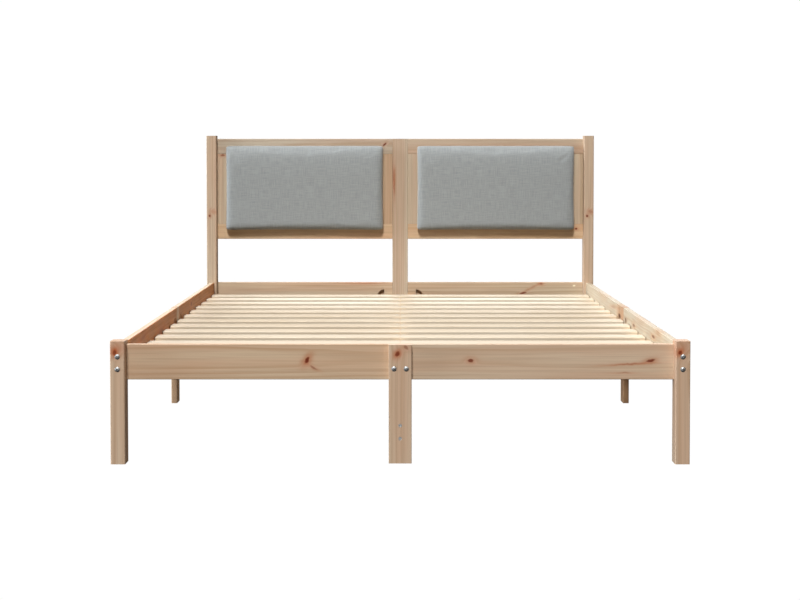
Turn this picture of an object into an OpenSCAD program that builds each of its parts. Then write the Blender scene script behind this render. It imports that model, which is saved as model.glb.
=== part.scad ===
// Double bed frame in solid pine, bolted together from flat boards and square posts,
// with a headboard of two cushioned half frames. The origin is on the floor under the
// middle of the frame. The foot end faces -Y and the headboard stands at +Y.

/* [Mattress] */
// Clear width between the side rails
mattress_w = 1400; // [1000:10:1600]
// Length of the mattress
mattress_l = 2000; // [1800:10:2100]
// Spare length between the end rails beyond the mattress
mattress_end_play = 12; // [0:1:30]

/* [Heights] */
// Top of all the rails above the floor
rail_top_z = 300; // [270:5:360]
// How far the tops of the slats lie below the tops of the rails
slat_drop = 40; // [34:1:60]
// How far the foot posts stand above the rails
foot_post_rise = 10; // [0:1:40]
// Height of the head posts
head_post_h = 853; // [800:1:950]
// How far the top of the headboard lies below the tops of the head posts
headboard_drop = 11; // [0:1:40]

/* [Posts] */
// Width of a post across the bed
post_w = 37; // [35:1:50]
// Depth of a post along the bed
post_d = 50; // [46:1:60]
// Rounding of the long edges of the posts
post_edge_r = 3; // [1:0.5:5]

/* [Boards] */
// Thickness of the rails, the legs and the headboard frames
board_t = 18; // [17:0.5:21]
// Height of a rail
rail_h = 90; // [84:1:110]
// How far the end rails stand back from the inner faces of the posts
rail_inset = 2; // [0:0.5:5]
// Width of the middle legs
leg_w = 58; // [50:1:80]
// Width of the centre post of the headboard
centre_post_w = 58; // [50:1:80]
// Rounding of the long edges of the boards
board_edge_r = 2; // [0.5:0.5:4]

/* [Headboard frames] */
// Height of a half frame
half_frame_h = 378; // [330:1:400]
// Width of the boards of a half frame
frame_board_w = 57; // [50:1:65]

/* [Cushions] */
// How far a cushion laps over the upright boards of its frame
cushion_lap_side = 21.5; // [16:0.5:28]
// How far a cushion laps over the top board of its frame
cushion_lap_top = 30; // [20:1:36]
// How far a cushion laps over the bottom board of its frame
cushion_lap_bottom = 22; // [18:1:36]
// Thickness of a cushion at its crown
cushion_t = 36; // [26:1:50]
// Thickness of a cushion at its edge
cushion_edge_t = 11; // [6:1:16]
// How far the upright edges of a cushion are drawn in half way up
cushion_draw_side = 1.5; // [0:0.5:7]
// How far the bottom edge of a cushion is drawn up half way along
cushion_draw_bottom = 4; // [0:0.5:9]
// Thickness of the board that carries a cushion
cushion_board_t = 9; // [6:1:12]
// How far the edges of that board lie inside those of the cushion
cushion_board_margin = 10; // [9.5:0.5:12]

/* [Slats] */
// Number of rows of slats
slat_n = 13; // [9:1:13]
// Width of a slat
slat_w = 70; // [50:1:80]
// Thickness of a slat
slat_t = 14; // [12:1:20]
// Rounding of the long edges of the slats
slat_edge_r = 4; // [2:0.5:5]
// Gap between the foot rail and the first slat
slat_foot_gap = 43; // [30:1:80]
// Gap between the last slat and the head rails
slat_head_gap = 75; // [50:1:90]
// Gap between the end of a slat and the side rail
slat_side_play = 2; // [1:0.5:5]
// Gap between the two halves of a row of slats
slat_seam = 1; // [0.5:0.5:4]
// Distance of the inner screws of a slat from the middle of the bed
slat_screw_x = 9.5; // [7:0.5:12]
// Distance of the inner screws from the head-side edge of a slat
slat_screw_inset = 12; // [8:1:20]

/* [Slat supports] */
// Width of the ledger strips on the side rails
ledger_w = 20; // [17:1:25]
// Height of the ledger strips
ledger_h = 25; // [20:1:30]
// Width of the centre beam
beam_w = 37; // [34:1:50]
// Height of the centre beam
beam_h = 50; // [46:1:60]
// Length of the half lap that joins the two lengths of the beam
beam_lap_l = 100; // [80:1:160]
// Depth of the leg under the beam along the bed
beam_leg_d = 50; // [40:1:60]
// Wood between the screws and the ends of the cradles that hold the beam
cradle_edge = 7; // [6:0.5:8]
// Wood left under the beam in a cradle
cradle_lip = 14; // [8:1:20]

/* [Bolts and dowels] */
// Diameter of the bolts and the studs
bolt_d = 6; // [5:0.5:7]
// Diameter of a bolt head
bolt_head_d = 13; // [12:0.5:15]
// Height of a bolt head
bolt_head_t = 3.5; // [2.5:0.5:4.5]
// How much of that height is domed, and stands out where the bolt shows at the foot end
bolt_dome_t = 2; // [1:0.5:2]
// Width across the flats of the hexagon socket
socket_af = 4; // [3:0.5:5]
// Spacing of the two bolts that hold a side rail to a post
post_bolt_spacing = 32; // [24:1:40]
// Distance of a barrel nut from the end of its rail
nut_setback = 35; // [28:1:45]
// Diameter of a barrel nut
barrel_nut_d = 10; // [9:0.5:12]
// Spacing of the two bolts through the centre foot leg
leg_bolt_spacing = 31; // [26:1:36]
// How far those bolts lie below the middle of the rail
leg_bolt_drop = 16; // [12:1:18]
// Height of the lower screw that joins the two boards of the centre foot leg
leg_screw_z = 63; // [40:1:90]
// Spacing of those two screws
leg_screw_spacing = 33; // [20:1:60]
// Diameter of a wooden dowel
dowel_d = 8; // [6:0.5:9]
// Length of a dowel in each of the two pieces that it joins
dowel_half_l = 15; // [10:1:18]
// Spacing of the two dowels at the end of a rail
dowel_spacing = 60; // [52:1:70]
// Radial clearance of the bolts, nuts and dowels in their holes
fit_play = 0.2; // [0.1:0.05:0.4]

/* [Stud joints] */
// Radius of the half-moon pockets in the rails
pocket_r = 26; // [22:1:28]
// Radius of the half-moon pockets in the headboard frames
small_pocket_r = 18; // [15:1:20]
// Distance of the flat side of a pocket from the end of its rail
pocket_setback = 31; // [26:1:34]
// Wood left behind a pocket
pocket_floor_t = 3; // [2:0.5:3]
// Height of the stud below the top of the rails
stud_drop = 53; // [50:1:58]

/* [Wood screws] */
// Diameter of a countersunk screw head
screw_head_d = 9; // [7:0.5:10]
// Diameter of a screw
screw_d = 4; // [3:0.5:5]
// Number of screws in each ledger strip
ledger_screw_n = 4; // [3:1:7]

/* [Hidden] */
$fn = 48;
eps = 0.01;
side_name = ["left", "right"];

clear_l = mattress_l + mattress_end_play;
overall_w = mattress_w + board_t + post_w;
overall_l = clear_l + board_t + post_d;
half_w = overall_w / 2;
half_l = overall_l / 2;
rail_setback = post_d - board_t - rail_inset;

// Across the bed
post_x = half_w - post_w / 2;
post_inner_x = half_w - post_w;
rail_inner_x = mattress_w / 2;
rail_outer_x = rail_inner_x + board_t;

// Along the bed
foot_rail_y = -half_l + rail_setback;
foot_rail_back_y = foot_rail_y + board_t;
foot_rail_mid_y = foot_rail_y + board_t / 2;
head_rail_y = half_l - post_d + rail_setback;
head_rail_back_y = head_rail_y + board_t;
head_rail_mid_y = head_rail_y + board_t / 2;
head_rail_ys = [head_rail_y, head_rail_back_y];
side_rail_end_y = half_l - post_d;

// Above the floor
rail_z = rail_top_z - rail_h;
rail_mid_z = rail_top_z - rail_h / 2;
foot_post_h = rail_top_z + foot_post_rise;
headboard_top_z = head_post_h - headboard_drop;
frame_z = headboard_top_z - half_frame_h;
frame_top_mid_z = headboard_top_z - frame_board_w / 2;
frame_bottom_mid_z = frame_z + frame_board_w / 2;
slat_z = rail_top_z - slat_drop - slat_t;
beam_z = slat_z - beam_h;
stud_z = rail_top_z - stud_drop;

// Slats and what carries them
slat_half_l = rail_inner_x - slat_side_play - slat_seam / 2;
slat_pitch = (clear_l - slat_foot_gap - slat_head_gap - slat_w) / (slat_n - 1);
function slat_y(i) = foot_rail_back_y + slat_foot_gap + i * slat_pitch;
ledger_clear = 6;
ledger_outer_y = side_rail_end_y - nut_setback - barrel_nut_d - ledger_clear;
ledger_inner_y = leg_w / 2 + pocket_setback + pocket_r + ledger_clear;
ledger_l = ledger_outer_y - ledger_inner_y;
ledger_z = slat_z - ledger_h;
ledger_mid_z = ledger_z + ledger_h / 2;
ledger_face_x = rail_inner_x - ledger_w;
screw_clear = 2;
cradle_screw_x = max(leg_w, centre_post_w) / 2 + dowel_half_l + screw_d / 2 + screw_clear;
cradle_screw_z = (rail_z + slat_z) / 2;
cradle_w = 2 * (cradle_screw_x + cradle_edge);
cradle_z = beam_z - cradle_lip;
beam_play = 0.3;
beam_end_gap = 1;

// Half frames and cushions
frame_inner_x = centre_post_w / 2;
frame_outer_x = post_inner_x;
opening_inner_x = frame_inner_x + frame_board_w;
opening_outer_x = frame_outer_x - frame_board_w;
opening_z = frame_z + frame_board_w;
opening_top_z = headboard_top_z - frame_board_w;
cushion_inner_x = opening_inner_x - cushion_lap_side;
cushion_outer_x = opening_outer_x + cushion_lap_side;
cushion_z = opening_z - cushion_lap_bottom;
cushion_top_z = opening_top_z + cushion_lap_top;
cushion_gap = 0.3;
cushion_back_y = head_rail_y - cushion_board_t - cushion_gap;

// Hardware that has one usual size
barrel_nut_l = board_t - 5;
nut_floor_t = 2;
bolt_tip_l = 8;
washer_t = 2;
washer_r = 8.5;
stud_nut_af = 10;
stud_nut_t = 5;
stud_tip_l = 3;
tnut_flange_d = 15;
tnut_flange_t = 1.5;
tnut_barrel_d = 8.5;
tnut_barrel_l = 10;
frame_dowel_half_l = 12;
screw_head_t = 3;
screw_recess_w = 1.2;
screw_stop = 4;
beam_bite = 22;
ledger_bite = 14;

pine_front = [0.76, 0.64, 0.52];
pine_light = [0.93, 0.84, 0.72];
zinc = [0.72, 0.72, 0.70];
beech = [0.80, 0.66, 0.46];
grey_cloth = [0.60, 0.62, 0.61];

// Boards and posts: a rectangle with rounded corners drawn out along one axis

module rounded_rect(w, h, r) {
    translate([r, 0]) square([w - 2 * r, h]);
    translate([0, r]) square([w, h - 2 * r]);
    for (x = [r, w - r], y = [r, h - r]) translate([x, y]) circle(r);
}

module board_x(x, y, z, r = board_edge_r) {
    translate([x[0], y[0], z[0]]) rotate([90, 0, 90])
        linear_extrude(x[1] - x[0]) rounded_rect(y[1] - y[0], z[1] - z[0], r);
}

module board_y(x, y, z, r = board_edge_r) {
    translate([x[0], y[1], z[0]]) rotate([90, 0, 0])
        linear_extrude(y[1] - y[0]) rounded_rect(x[1] - x[0], z[1] - z[0], r);
}

module board_z(x, y, z, r = board_edge_r) {
    translate([x[0], y[0], z[0]])
        linear_extrude(z[1] - z[0]) rounded_rect(x[1] - x[0], y[1] - y[0], r);
}

// Mirrors a piece that is drawn on the right to the left side
module on_side(s) {
    if (s < 0) mirror([1, 0, 0]) children();
    else children();
}

// Mirrors a piece that is drawn at the head to the foot end
module at_end(e) {
    if (e < 0) mirror([0, 1, 0]) children();
    else children();
}

// Bolt joints. Local +Z runs along the bolt from the outer face, and local +X points to
// the open face of the barrel nut's bore. A joint is [x, y, z, open face angle, entry depth].

module place(j) {
    translate([j[0], j[1], j[2]]) rotate([-90, 0, j[3]]) children();
}

module bolt_cut(entry, proud = 0) {
    reach = entry + nut_setback;
    translate([0, 0, -1]) cylinder(d = bolt_head_d + 2 * fit_play, h = bolt_head_t - proud + 1);
    translate([0, 0, -1]) cylinder(d = bolt_d + 2 * fit_play, h = reach + bolt_tip_l + 2);
    translate([nut_floor_t - board_t / 2, 0, reach]) rotate([0, 90, 0])
        cylinder(d = barrel_nut_d + 2 * fit_play, h = board_t);
}

module bolt_body(l) {
    dome_r = (bolt_head_d * bolt_head_d / 4 + bolt_dome_t * bolt_dome_t) / (2 * bolt_dome_t);
    difference() {
        union() {
            intersection() {
                translate([0, 0, dome_r]) sphere(dome_r);
                cylinder(d = bolt_head_d, h = bolt_head_t);
            }
            translate([0, 0, bolt_head_t - eps]) cylinder(d = bolt_d, h = l - bolt_head_t);
        }
        translate([0, 0, -1]) cylinder(d = socket_af / cos(30), h = bolt_head_t, $fn = 6);
    }
}

module barrel_nut(entry) {
    difference() {
        translate([nut_floor_t - board_t / 2, 0, entry + nut_setback]) rotate([0, 90, 0])
            cylinder(d = barrel_nut_d, h = barrel_nut_l);
        translate([0, 0, entry + nut_setback - barrel_nut_d])
            cylinder(d = bolt_d + 2 * fit_play, h = 2 * barrel_nut_d);
        translate([nut_floor_t - board_t / 2 + barrel_nut_l - 1.5, -barrel_nut_d, entry + nut_setback - 0.8])
            cube([3, 2 * barrel_nut_d, 1.6]);
    }
}

// Bolts are listed for the right side. Those of a side rail start on the post's outer end face.
side_rail_bolts = [for (dz = [-1, 1])
    [post_x, half_l, rail_mid_z + dz * post_bolt_spacing / 2, 180, post_d]];
foot_rail_bolt = [half_w, foot_rail_mid_y, rail_mid_z, 90, post_w];
head_rail_bolt = [half_w, head_rail_mid_y, rail_mid_z, 90, post_w];
frame_top_bolt = [half_w, head_rail_mid_y, frame_top_mid_z, 90, post_w];
frame_bottom_bolt = [half_w, head_rail_mid_y, frame_bottom_mid_z, 90, post_w];

// Stud joints. Local Z runs along the stud through the middle of the upright, and local +X
// points to the open face of the pockets. A joint is [x, y, z, open face angle, upright width,
// pocket radius].

module stud_cut(w, r) {
    flat = w / 2 + pocket_setback;
    floor_x = pocket_floor_t - board_t / 2;
    translate([0, 0, -flat - 1]) cylinder(d = bolt_d + 2 * fit_play, h = 2 * flat + 2);
    for (s = [0, 1]) mirror([0, 0, s]) intersection() {
        translate([floor_x, 0, flat]) rotate([0, 90, 0]) cylinder(r = r, h = board_t);
        translate([floor_x - 1, -r - 1, flat]) cube([board_t + 2, 2 * r + 2, r + 2]);
    }
}

module stud_rod(w) {
    flat = w / 2 + pocket_setback;
    l = 2 * (flat + washer_t + stud_nut_t + stud_tip_l);
    cylinder(d = bolt_d, h = l, center = true);
}

module stud_washer(w) {
    flat = w / 2 + pocket_setback;
    washer_flat = board_t / 2 - pocket_floor_t - 0.5;
    difference() {
        intersection() {
            translate([0, 0, flat]) cylinder(r = washer_r, h = washer_t);
            translate([-washer_flat, -washer_r - 1, flat - 1])
                cube([2 * washer_r, 2 * washer_r + 2, washer_t + 2]);
        }
        translate([0, 0, flat - 1]) cylinder(d = bolt_d + 2 * fit_play, h = washer_t + 2);
    }
}

module stud_nut(w) {
    flat = w / 2 + pocket_setback;
    difference() {
        translate([0, 0, flat + washer_t]) rotate([0, 0, 30])
            cylinder(d = stud_nut_af / cos(30), h = stud_nut_t, $fn = 6);
        translate([0, 0, flat]) cylinder(d = bolt_d + 2 * fit_play, h = 2 * stud_nut_t);
    }
}

side_stud = [post_x, 0, stud_z, 180, leg_w, pocket_r];
head_stud = [0, head_rail_mid_y, stud_z, -90, centre_post_w, pocket_r];
frame_top_stud = [0, head_rail_mid_y, frame_top_mid_z, 90, centre_post_w, small_pocket_r];
frame_bottom_stud = [0, head_rail_mid_y, frame_bottom_mid_z, 90, centre_post_w, small_pocket_r];
centre_studs = [head_stud, frame_top_stud, frame_bottom_stud];

// Dowels: a dowel is [centre, direction, half length]

dowel_zs = [rail_mid_z - dowel_spacing / 2, rail_mid_z + dowel_spacing / 2];
frame_dowel_xs = [for (x = [frame_inner_x, opening_outer_x], f = [0.25, 0.75]) x + f * frame_board_w];
side_dowels = concat(
    [for (z = dowel_zs, y = [foot_rail_mid_y, head_rail_mid_y])
        [[post_inner_x, y, z], [0, 90, 0], dowel_half_l]],
    [for (z = dowel_zs, e = [-1, 1]) [[post_x, e * leg_w / 2, z], [90, 0, 0], dowel_half_l]],
    [for (z = dowel_zs) [[frame_inner_x, head_rail_mid_y, z], [0, 90, 0], dowel_half_l]],
    [for (z = [opening_z, opening_top_z], x = frame_dowel_xs)
        [[x, head_rail_mid_y, z], [0, 0, 0], frame_dowel_half_l]]
);
centre_dowels = concat(
    [for (z = dowel_zs) [[0, foot_rail_mid_y, z], [0, 90, 0], dowel_half_l]],
    [for (e = [-1, 1]) [[0, e * beam_leg_d / 4, beam_z], [0, 0, 0], dowel_half_l]]
);

module dowel(d, play = 0) {
    translate(d[0]) rotate(d[1]) cylinder(d = dowel_d + 2 * play, h = 2 * (d[2] + play), center = true);
}

module dowel_holes(list) {
    for (d = list) dowel(d, fit_play);
}

// Bolts through the centre foot leg into T-nuts let in behind the foot rails

leg_bolt_z = rail_mid_z - leg_bolt_drop;

module leg_bolt_place() {
    translate([leg_bolt_spacing / 2, foot_rail_y - board_t, leg_bolt_z]) rotate([-90, 0, 0]) children();
}

module leg_bolt_cut() {
    translate([0, 0, -1]) cylinder(d = bolt_head_d + 2 * fit_play, h = bolt_head_t - bolt_dome_t + 1);
    translate([0, 0, -1]) cylinder(d = bolt_d + 2 * fit_play, h = 2 * board_t + 2);
    translate([0, 0, 2 * board_t - tnut_barrel_l])
        cylinder(d = tnut_barrel_d + 2 * fit_play, h = tnut_barrel_l + 1);
    translate([0, 0, 2 * board_t - tnut_flange_t])
        cylinder(d = tnut_flange_d + 2 * fit_play, h = tnut_flange_t + 1);
}

module t_nut() {
    difference() {
        union() {
            translate([0, 0, 2 * board_t - tnut_barrel_l]) cylinder(d = tnut_barrel_d, h = tnut_barrel_l);
            translate([0, 0, 2 * board_t - tnut_flange_t]) cylinder(d = tnut_flange_d, h = tnut_flange_t);
        }
        translate([0, 0, board_t]) cylinder(d = bolt_d + 2 * fit_play, h = board_t + 1);
    }
}

// Countersunk wood screws: a screw is [head centre, rotation, length], its shank along local -Z

function screw_clear_d() = screw_d + 2 * fit_play;
lap_screw_y = beam_lap_l / 4;
board_screw_x = (cushion_outer_x - cushion_inner_x) / 4;
cushion_mid_x = (cushion_inner_x + cushion_outer_x) / 2;
board_lap_top = cushion_lap_top - cushion_board_margin;
board_lap_bottom = cushion_lap_bottom - cushion_board_margin;

function slat_inner_screw(i) =
    [[slat_screw_x, slat_y(i) + slat_w - slat_screw_inset, slat_z + slat_t], [0, 0, 0], slat_t + beam_bite];
function slat_outer_screw(i) =
    [[rail_inner_x - ledger_w / 2, slat_y(i) + slat_w / 2, slat_z + slat_t],
     [0, 0, 0], slat_t + ledger_bite];
ledger_screws = [for (e = [-1, 1], k = [0 : ledger_screw_n - 1])
    [[ledger_face_x, e * (ledger_inner_y + ledger_l * (k + 0.5) / ledger_screw_n), ledger_mid_z],
     [0, -90, 0], ledger_w + board_t - screw_stop]];
block_screws = [for (e = [-1, 1])
    [[ledger_face_x, e * leg_w / 4, ledger_mid_z], [0, -90, 0], ledger_w + board_t - screw_stop]];
cradle_screws = [for (e = [-1, 1])
    [[cradle_screw_x, e < 0 ? foot_rail_back_y + board_t : head_rail_y - board_t, cradle_screw_z],
     [e * 90, 0, 0], 2 * board_t - screw_stop]];
cushion_screws = [for (x = [-1, 1], z = [opening_top_z + board_lap_top / 2, opening_z - board_lap_bottom / 2])
    [[cushion_mid_x + x * board_screw_x, head_rail_back_y, z],
     [-90, 0, 0], board_t + cushion_board_t - screw_stop]];
leg_screws = [for (k = [0, 1])
    [[0, foot_rail_y - board_t, leg_screw_z + k * leg_screw_spacing], [90, 0, 0], 2 * board_t - screw_stop]];
lap_screws = [for (e = [-1, 1]) [[0, e * lap_screw_y, slat_z], [0, 0, 0], beam_h - screw_stop]];

module screw_place(s) {
    translate(s[0]) rotate(s[1]) children();
}

module screw_body(l) {
    difference() {
        union() {
            translate([0, 0, -screw_head_t]) cylinder(d1 = screw_d, d2 = screw_head_d, h = screw_head_t);
            translate([0, 0, -l]) cylinder(d = screw_d, h = l - screw_head_t + eps);
        }
        for (a = [0, 90]) rotate([0, 0, a])
            translate([-screw_recess_w / 2, -screw_head_d / 4, -screw_head_t / 2])
                cube([screw_recess_w, screw_head_d / 2, screw_head_t]);
    }
}

module screw_holes(list) {
    for (s = list) screw_place(s) {
        translate([0, 0, -screw_head_t - fit_play])
            cylinder(d1 = screw_clear_d(), d2 = screw_head_d + 2 * fit_play, h = screw_head_t + fit_play);
        translate([0, 0, -s[2] - fit_play]) cylinder(d = screw_clear_d(), h = s[2]);
        cylinder(d = screw_head_d + 2 * fit_play, h = 1);
    }
}

// Posts

module foot_post(s) {
    color(pine_front) on_side(s) difference() {
        board_z([post_inner_x, half_w], [-half_l, -side_rail_end_y], [0, foot_post_h], post_edge_r);
        mirror([0, 1, 0]) for (j = side_rail_bolts) place(j) bolt_cut(j[4], bolt_dome_t);
        place(foot_rail_bolt) bolt_cut(post_w);
        dowel_holes(side_dowels);
    }
}

module head_post(s) {
    color(pine_front) on_side(s) difference() {
        board_z([post_inner_x, half_w], [side_rail_end_y, half_l], [0, head_post_h], post_edge_r);
        for (j = side_rail_bolts) place(j) bolt_cut(j[4]);
        for (j = [head_rail_bolt, frame_top_bolt, frame_bottom_bolt]) place(j) bolt_cut(post_w);
        dowel_holes(side_dowels);
    }
}

// Rails and legs

module side_rail(s, e) {
    color(pine_front) on_side(s) at_end(e) difference() {
        board_y([rail_inner_x, rail_outer_x], [leg_w / 2, side_rail_end_y], [rail_z, rail_top_z]);
        for (j = side_rail_bolts) place(j) bolt_cut(j[4]);
        place(side_stud) stud_cut(leg_w, pocket_r);
        dowel_holes(side_dowels);
        screw_holes(ledger_screws);
    }
}

module side_leg(s) {
    color(pine_front) on_side(s) difference() {
        board_z([rail_inner_x, rail_outer_x], [-leg_w / 2, leg_w / 2], [0, rail_top_z]);
        place(side_stud) stud_cut(leg_w, pocket_r);
        dowel_holes(side_dowels);
        screw_holes(block_screws);
    }
}

module foot_rail(s) {
    color(pine_front) on_side(s) difference() {
        board_x([0, post_inner_x], [foot_rail_y, foot_rail_back_y], [rail_z, rail_top_z]);
        place(foot_rail_bolt) bolt_cut(post_w);
        leg_bolt_place() leg_bolt_cut();
        dowel_holes(side_dowels);
        dowel_holes(centre_dowels);
        screw_holes(cradle_screws);
    }
}

module foot_leg_front() {
    color(pine_front) difference() {
        board_z([-leg_w / 2, leg_w / 2], [foot_rail_y - board_t, foot_rail_y], [0, rail_top_z]);
        for (s = [-1, 1]) on_side(s) leg_bolt_place() leg_bolt_cut();
        screw_holes(leg_screws);
    }
}

module foot_leg_rear() {
    color(pine_front) difference() {
        board_z([-leg_w / 2, leg_w / 2], [foot_rail_y, foot_rail_back_y], [0, rail_z]);
        screw_holes(leg_screws);
    }
}

module head_rail(s) {
    color(pine_front) on_side(s) difference() {
        board_x([centre_post_w / 2, post_inner_x], head_rail_ys, [rail_z, rail_top_z]);
        place(head_rail_bolt) bolt_cut(post_w);
        place(head_stud) stud_cut(centre_post_w, pocket_r);
        dowel_holes(side_dowels);
        screw_holes(cradle_screws);
    }
}

module head_centre_post() {
    color(pine_front) difference() {
        board_z([-centre_post_w / 2, centre_post_w / 2], head_rail_ys, [0, headboard_top_z]);
        for (j = centre_studs) place(j) stud_cut(centre_post_w, j[5]);
        for (s = [-1, 1]) on_side(s) dowel_holes(side_dowels);
    }
}

// Headboard half frames

module headboard_top_rail(s) {
    color(pine_front) on_side(s) difference() {
        board_x([frame_inner_x, frame_outer_x], head_rail_ys, [opening_top_z, headboard_top_z]);
        place(frame_top_bolt) bolt_cut(post_w);
        place(frame_top_stud) stud_cut(centre_post_w, small_pocket_r);
        dowel_holes(side_dowels);
        screw_holes(cushion_screws);
    }
}

module headboard_bottom_rail(s) {
    color(pine_front) on_side(s) difference() {
        board_x([frame_inner_x, frame_outer_x], head_rail_ys, [frame_z, opening_z]);
        place(frame_bottom_bolt) bolt_cut(post_w);
        place(frame_bottom_stud) stud_cut(centre_post_w, small_pocket_r);
        dowel_holes(side_dowels);
        screw_holes(cushion_screws);
    }
}

module headboard_stile(s, x) {
    color(pine_front) on_side(s) difference() {
        board_z([x, x + frame_board_w], head_rail_ys, [opening_z, opening_top_z]);
        dowel_holes(side_dowels);
    }
}

// Cushions: a board with a crowned pad on it, its edges drawn in between the corners

module cushion_board(s) {
    m = cushion_board_margin;
    color(pine_light) on_side(s) difference() {
        translate([cushion_inner_x + m, head_rail_y - cushion_board_t, cushion_z + m])
            cube([pad_w - 2 * m, cushion_board_t, pad_h - 2 * m]);
        screw_holes(cushion_screws);
    }
}

pad_cols = 30;
pad_rows = 18;
pad_w = cushion_outer_x - cushion_inner_x;
pad_h = cushion_top_z - cushion_z;
pad_side_power = 50;
pad_top_power = 7;
pad_bottom_power = 12;
pad_rise = 0.1;

// Grid lines lie closer together towards the edges, where the pad curves most
function pad_u(i, n) = sin(90 * (2 * i / n - 1));
// Height of the pad over its edge, 0 at the edge and 1 at the middle: round at the sides and
// the bottom, and sloping further in from the top
function pad_power(v) = v < 0 ? pad_bottom_power : pad_top_power;
function pad_crown(u, v) =
    sqrt((1 - pow(abs(u), pad_side_power)) * (1 - pow(abs(v), pad_power(v))))
    * (1 - pad_rise * (u * u + v * v - u * u * v * v));
function pad_x(u, v) = cushion_mid_x + u * (pad_w / 2 - cushion_draw_side * (1 - v * v));
function pad_z(u, v) = cushion_z + pad_h / 2 * (1 + v) + (v < 0 ? -v : 0) * cushion_draw_bottom * (1 - u * u);
function pad_point(u, v, y) = [pad_x(u, v), y, pad_z(u, v)];

module cushion(s) {
    us = [for (i = [0 : pad_cols]) pad_u(i, pad_cols)];
    vs = [for (k = [0 : pad_rows]) pad_u(k, pad_rows)];
    front = [for (v = vs, u = us) pad_point(u, v,
        cushion_back_y - cushion_edge_t - (cushion_t - cushion_edge_t) * pad_crown(u, v))];
    rim = concat(
        [for (i = [0 : pad_cols - 1]) i],
        [for (k = [0 : pad_rows - 1]) k * (pad_cols + 1) + pad_cols],
        [for (i = [pad_cols : -1 : 1]) pad_rows * (pad_cols + 1) + i],
        [for (k = [pad_rows : -1 : 1]) k * (pad_cols + 1)]
    );
    n = len(rim);
    back = [for (r = rim) [front[r][0], cushion_back_y, front[r][2]]];
    base = len(front);
    centre = base + n;
    points = concat(front, back, [[cushion_mid_x, cushion_back_y, cushion_z + pad_h / 2]]);
    faces = concat(
        [for (k = [0 : pad_rows - 1], i = [0 : pad_cols - 1]) let (a = k * (pad_cols + 1) + i)
            [a, a + pad_cols + 1, a + 1]],
        [for (k = [0 : pad_rows - 1], i = [0 : pad_cols - 1]) let (a = k * (pad_cols + 1) + i)
            [a + 1, a + pad_cols + 1, a + pad_cols + 2]],
        [for (q = [0 : n - 1]) [rim[q], rim[(q + 1) % n], base + q]],
        [for (q = [0 : n - 1]) [rim[(q + 1) % n], base + (q + 1) % n, base + q]],
        [for (q = [0 : n - 1]) [base + q, base + (q + 1) % n, centre]]
    );
    color(grey_cloth) on_side(s) polyhedron(points, faces);
}

// Slats and what carries them

module ledger(s, e) {
    color(pine_light) on_side(s) at_end(e) difference() {
        board_y([ledger_face_x, rail_inner_x], [ledger_inner_y, ledger_outer_y], [ledger_z, slat_z], 1);
        screw_holes(ledger_screws);
        for (e2 = [-1, 1], i = [0 : slat_n - 1]) at_end(e2) screw_holes([slat_outer_screw(i)]);
    }
}

module slat_block(s) {
    color(pine_light) on_side(s) difference() {
        board_y([ledger_face_x, rail_inner_x], [-leg_w / 2, leg_w / 2], [ledger_z, slat_z], 1);
        screw_holes(block_screws);
        for (i = [0 : slat_n - 1]) screw_holes([slat_outer_screw(i)]);
    }
}

// Wide behind the rail, and no wider than the leg where it carries the beam below the rail
module cradle_cheeks(y) {
    difference() {
        union() {
            board_x([-cradle_w / 2, cradle_w / 2], y, [rail_z, slat_z], 1);
            board_x([-leg_w / 2, leg_w / 2], y, [cradle_z, beam_z + beam_h / 2], 1);
        }
        translate([-beam_w / 2 - beam_play, y[0] - 1, beam_z])
            cube([beam_w + 2 * beam_play, board_t + 2, beam_h + 1]);
        for (s = [-1, 1]) on_side(s) screw_holes(cradle_screws);
    }
}

module beam_cradle_foot() {
    color(pine_light) cradle_cheeks([foot_rail_back_y, foot_rail_back_y + board_t]);
}

module beam_cradle_head() {
    color(pine_light) cradle_cheeks([head_rail_y - board_t, head_rail_y]);
}

// The foot length of the beam carries the lower half of the lap, the head length the upper
module beam_length(y, e) {
    cut_z = e < 0 ? beam_z + beam_h / 2 : beam_z - 1;
    cut_y = -beam_lap_l / 2 - (e < 0 ? 0 : 1);
    color(pine_light) difference() {
        board_y([-beam_w / 2, beam_w / 2], y, [beam_z, slat_z], 1);
        translate([-beam_w / 2 - 1, cut_y, cut_z]) cube([beam_w + 2, beam_lap_l + 1, beam_h / 2 + 1]);
        dowel_holes(centre_dowels);
        screw_holes(lap_screws);
        for (s = [-1, 1], i = [0 : slat_n - 1]) on_side(s) screw_holes([slat_inner_screw(i)]);
    }
}

module centre_beam_foot() {
    beam_length([foot_rail_back_y + beam_end_gap, beam_lap_l / 2], -1);
}

module centre_beam_head() {
    beam_length([-beam_lap_l / 2, head_rail_y - beam_end_gap], 1);
}

module centre_beam_leg() {
    color(pine_light) difference() {
        board_z([-beam_w / 2, beam_w / 2], [-beam_leg_d / 2, beam_leg_d / 2], [0, beam_z]);
        dowel_holes(centre_dowels);
    }
}

module slat_row(i) {
    color(pine_light) for (s = [-1, 1]) on_side(s) difference() {
        board_x([slat_seam / 2, slat_seam / 2 + slat_half_l], [slat_y(i), slat_y(i) + slat_w],
            [slat_z, slat_z + slat_t], slat_edge_r);
        screw_holes([slat_inner_screw(i), slat_outer_screw(i)]);
    }
}

// Fasteners

module frame_bolts() {
    color(zinc) for (s = [-1, 1]) on_side(s) {
        for (e = [-1, 1], j = side_rail_bolts) at_end(e) place(j)
            translate([0, 0, e < 0 ? -bolt_dome_t : 0]) bolt_body(post_d + nut_setback + bolt_tip_l);
        for (j = [foot_rail_bolt, head_rail_bolt, frame_top_bolt, frame_bottom_bolt])
            place(j) bolt_body(post_w + nut_setback + bolt_tip_l);
        leg_bolt_place() translate([0, 0, -bolt_dome_t]) bolt_body(2 * board_t);
    }
}

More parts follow.
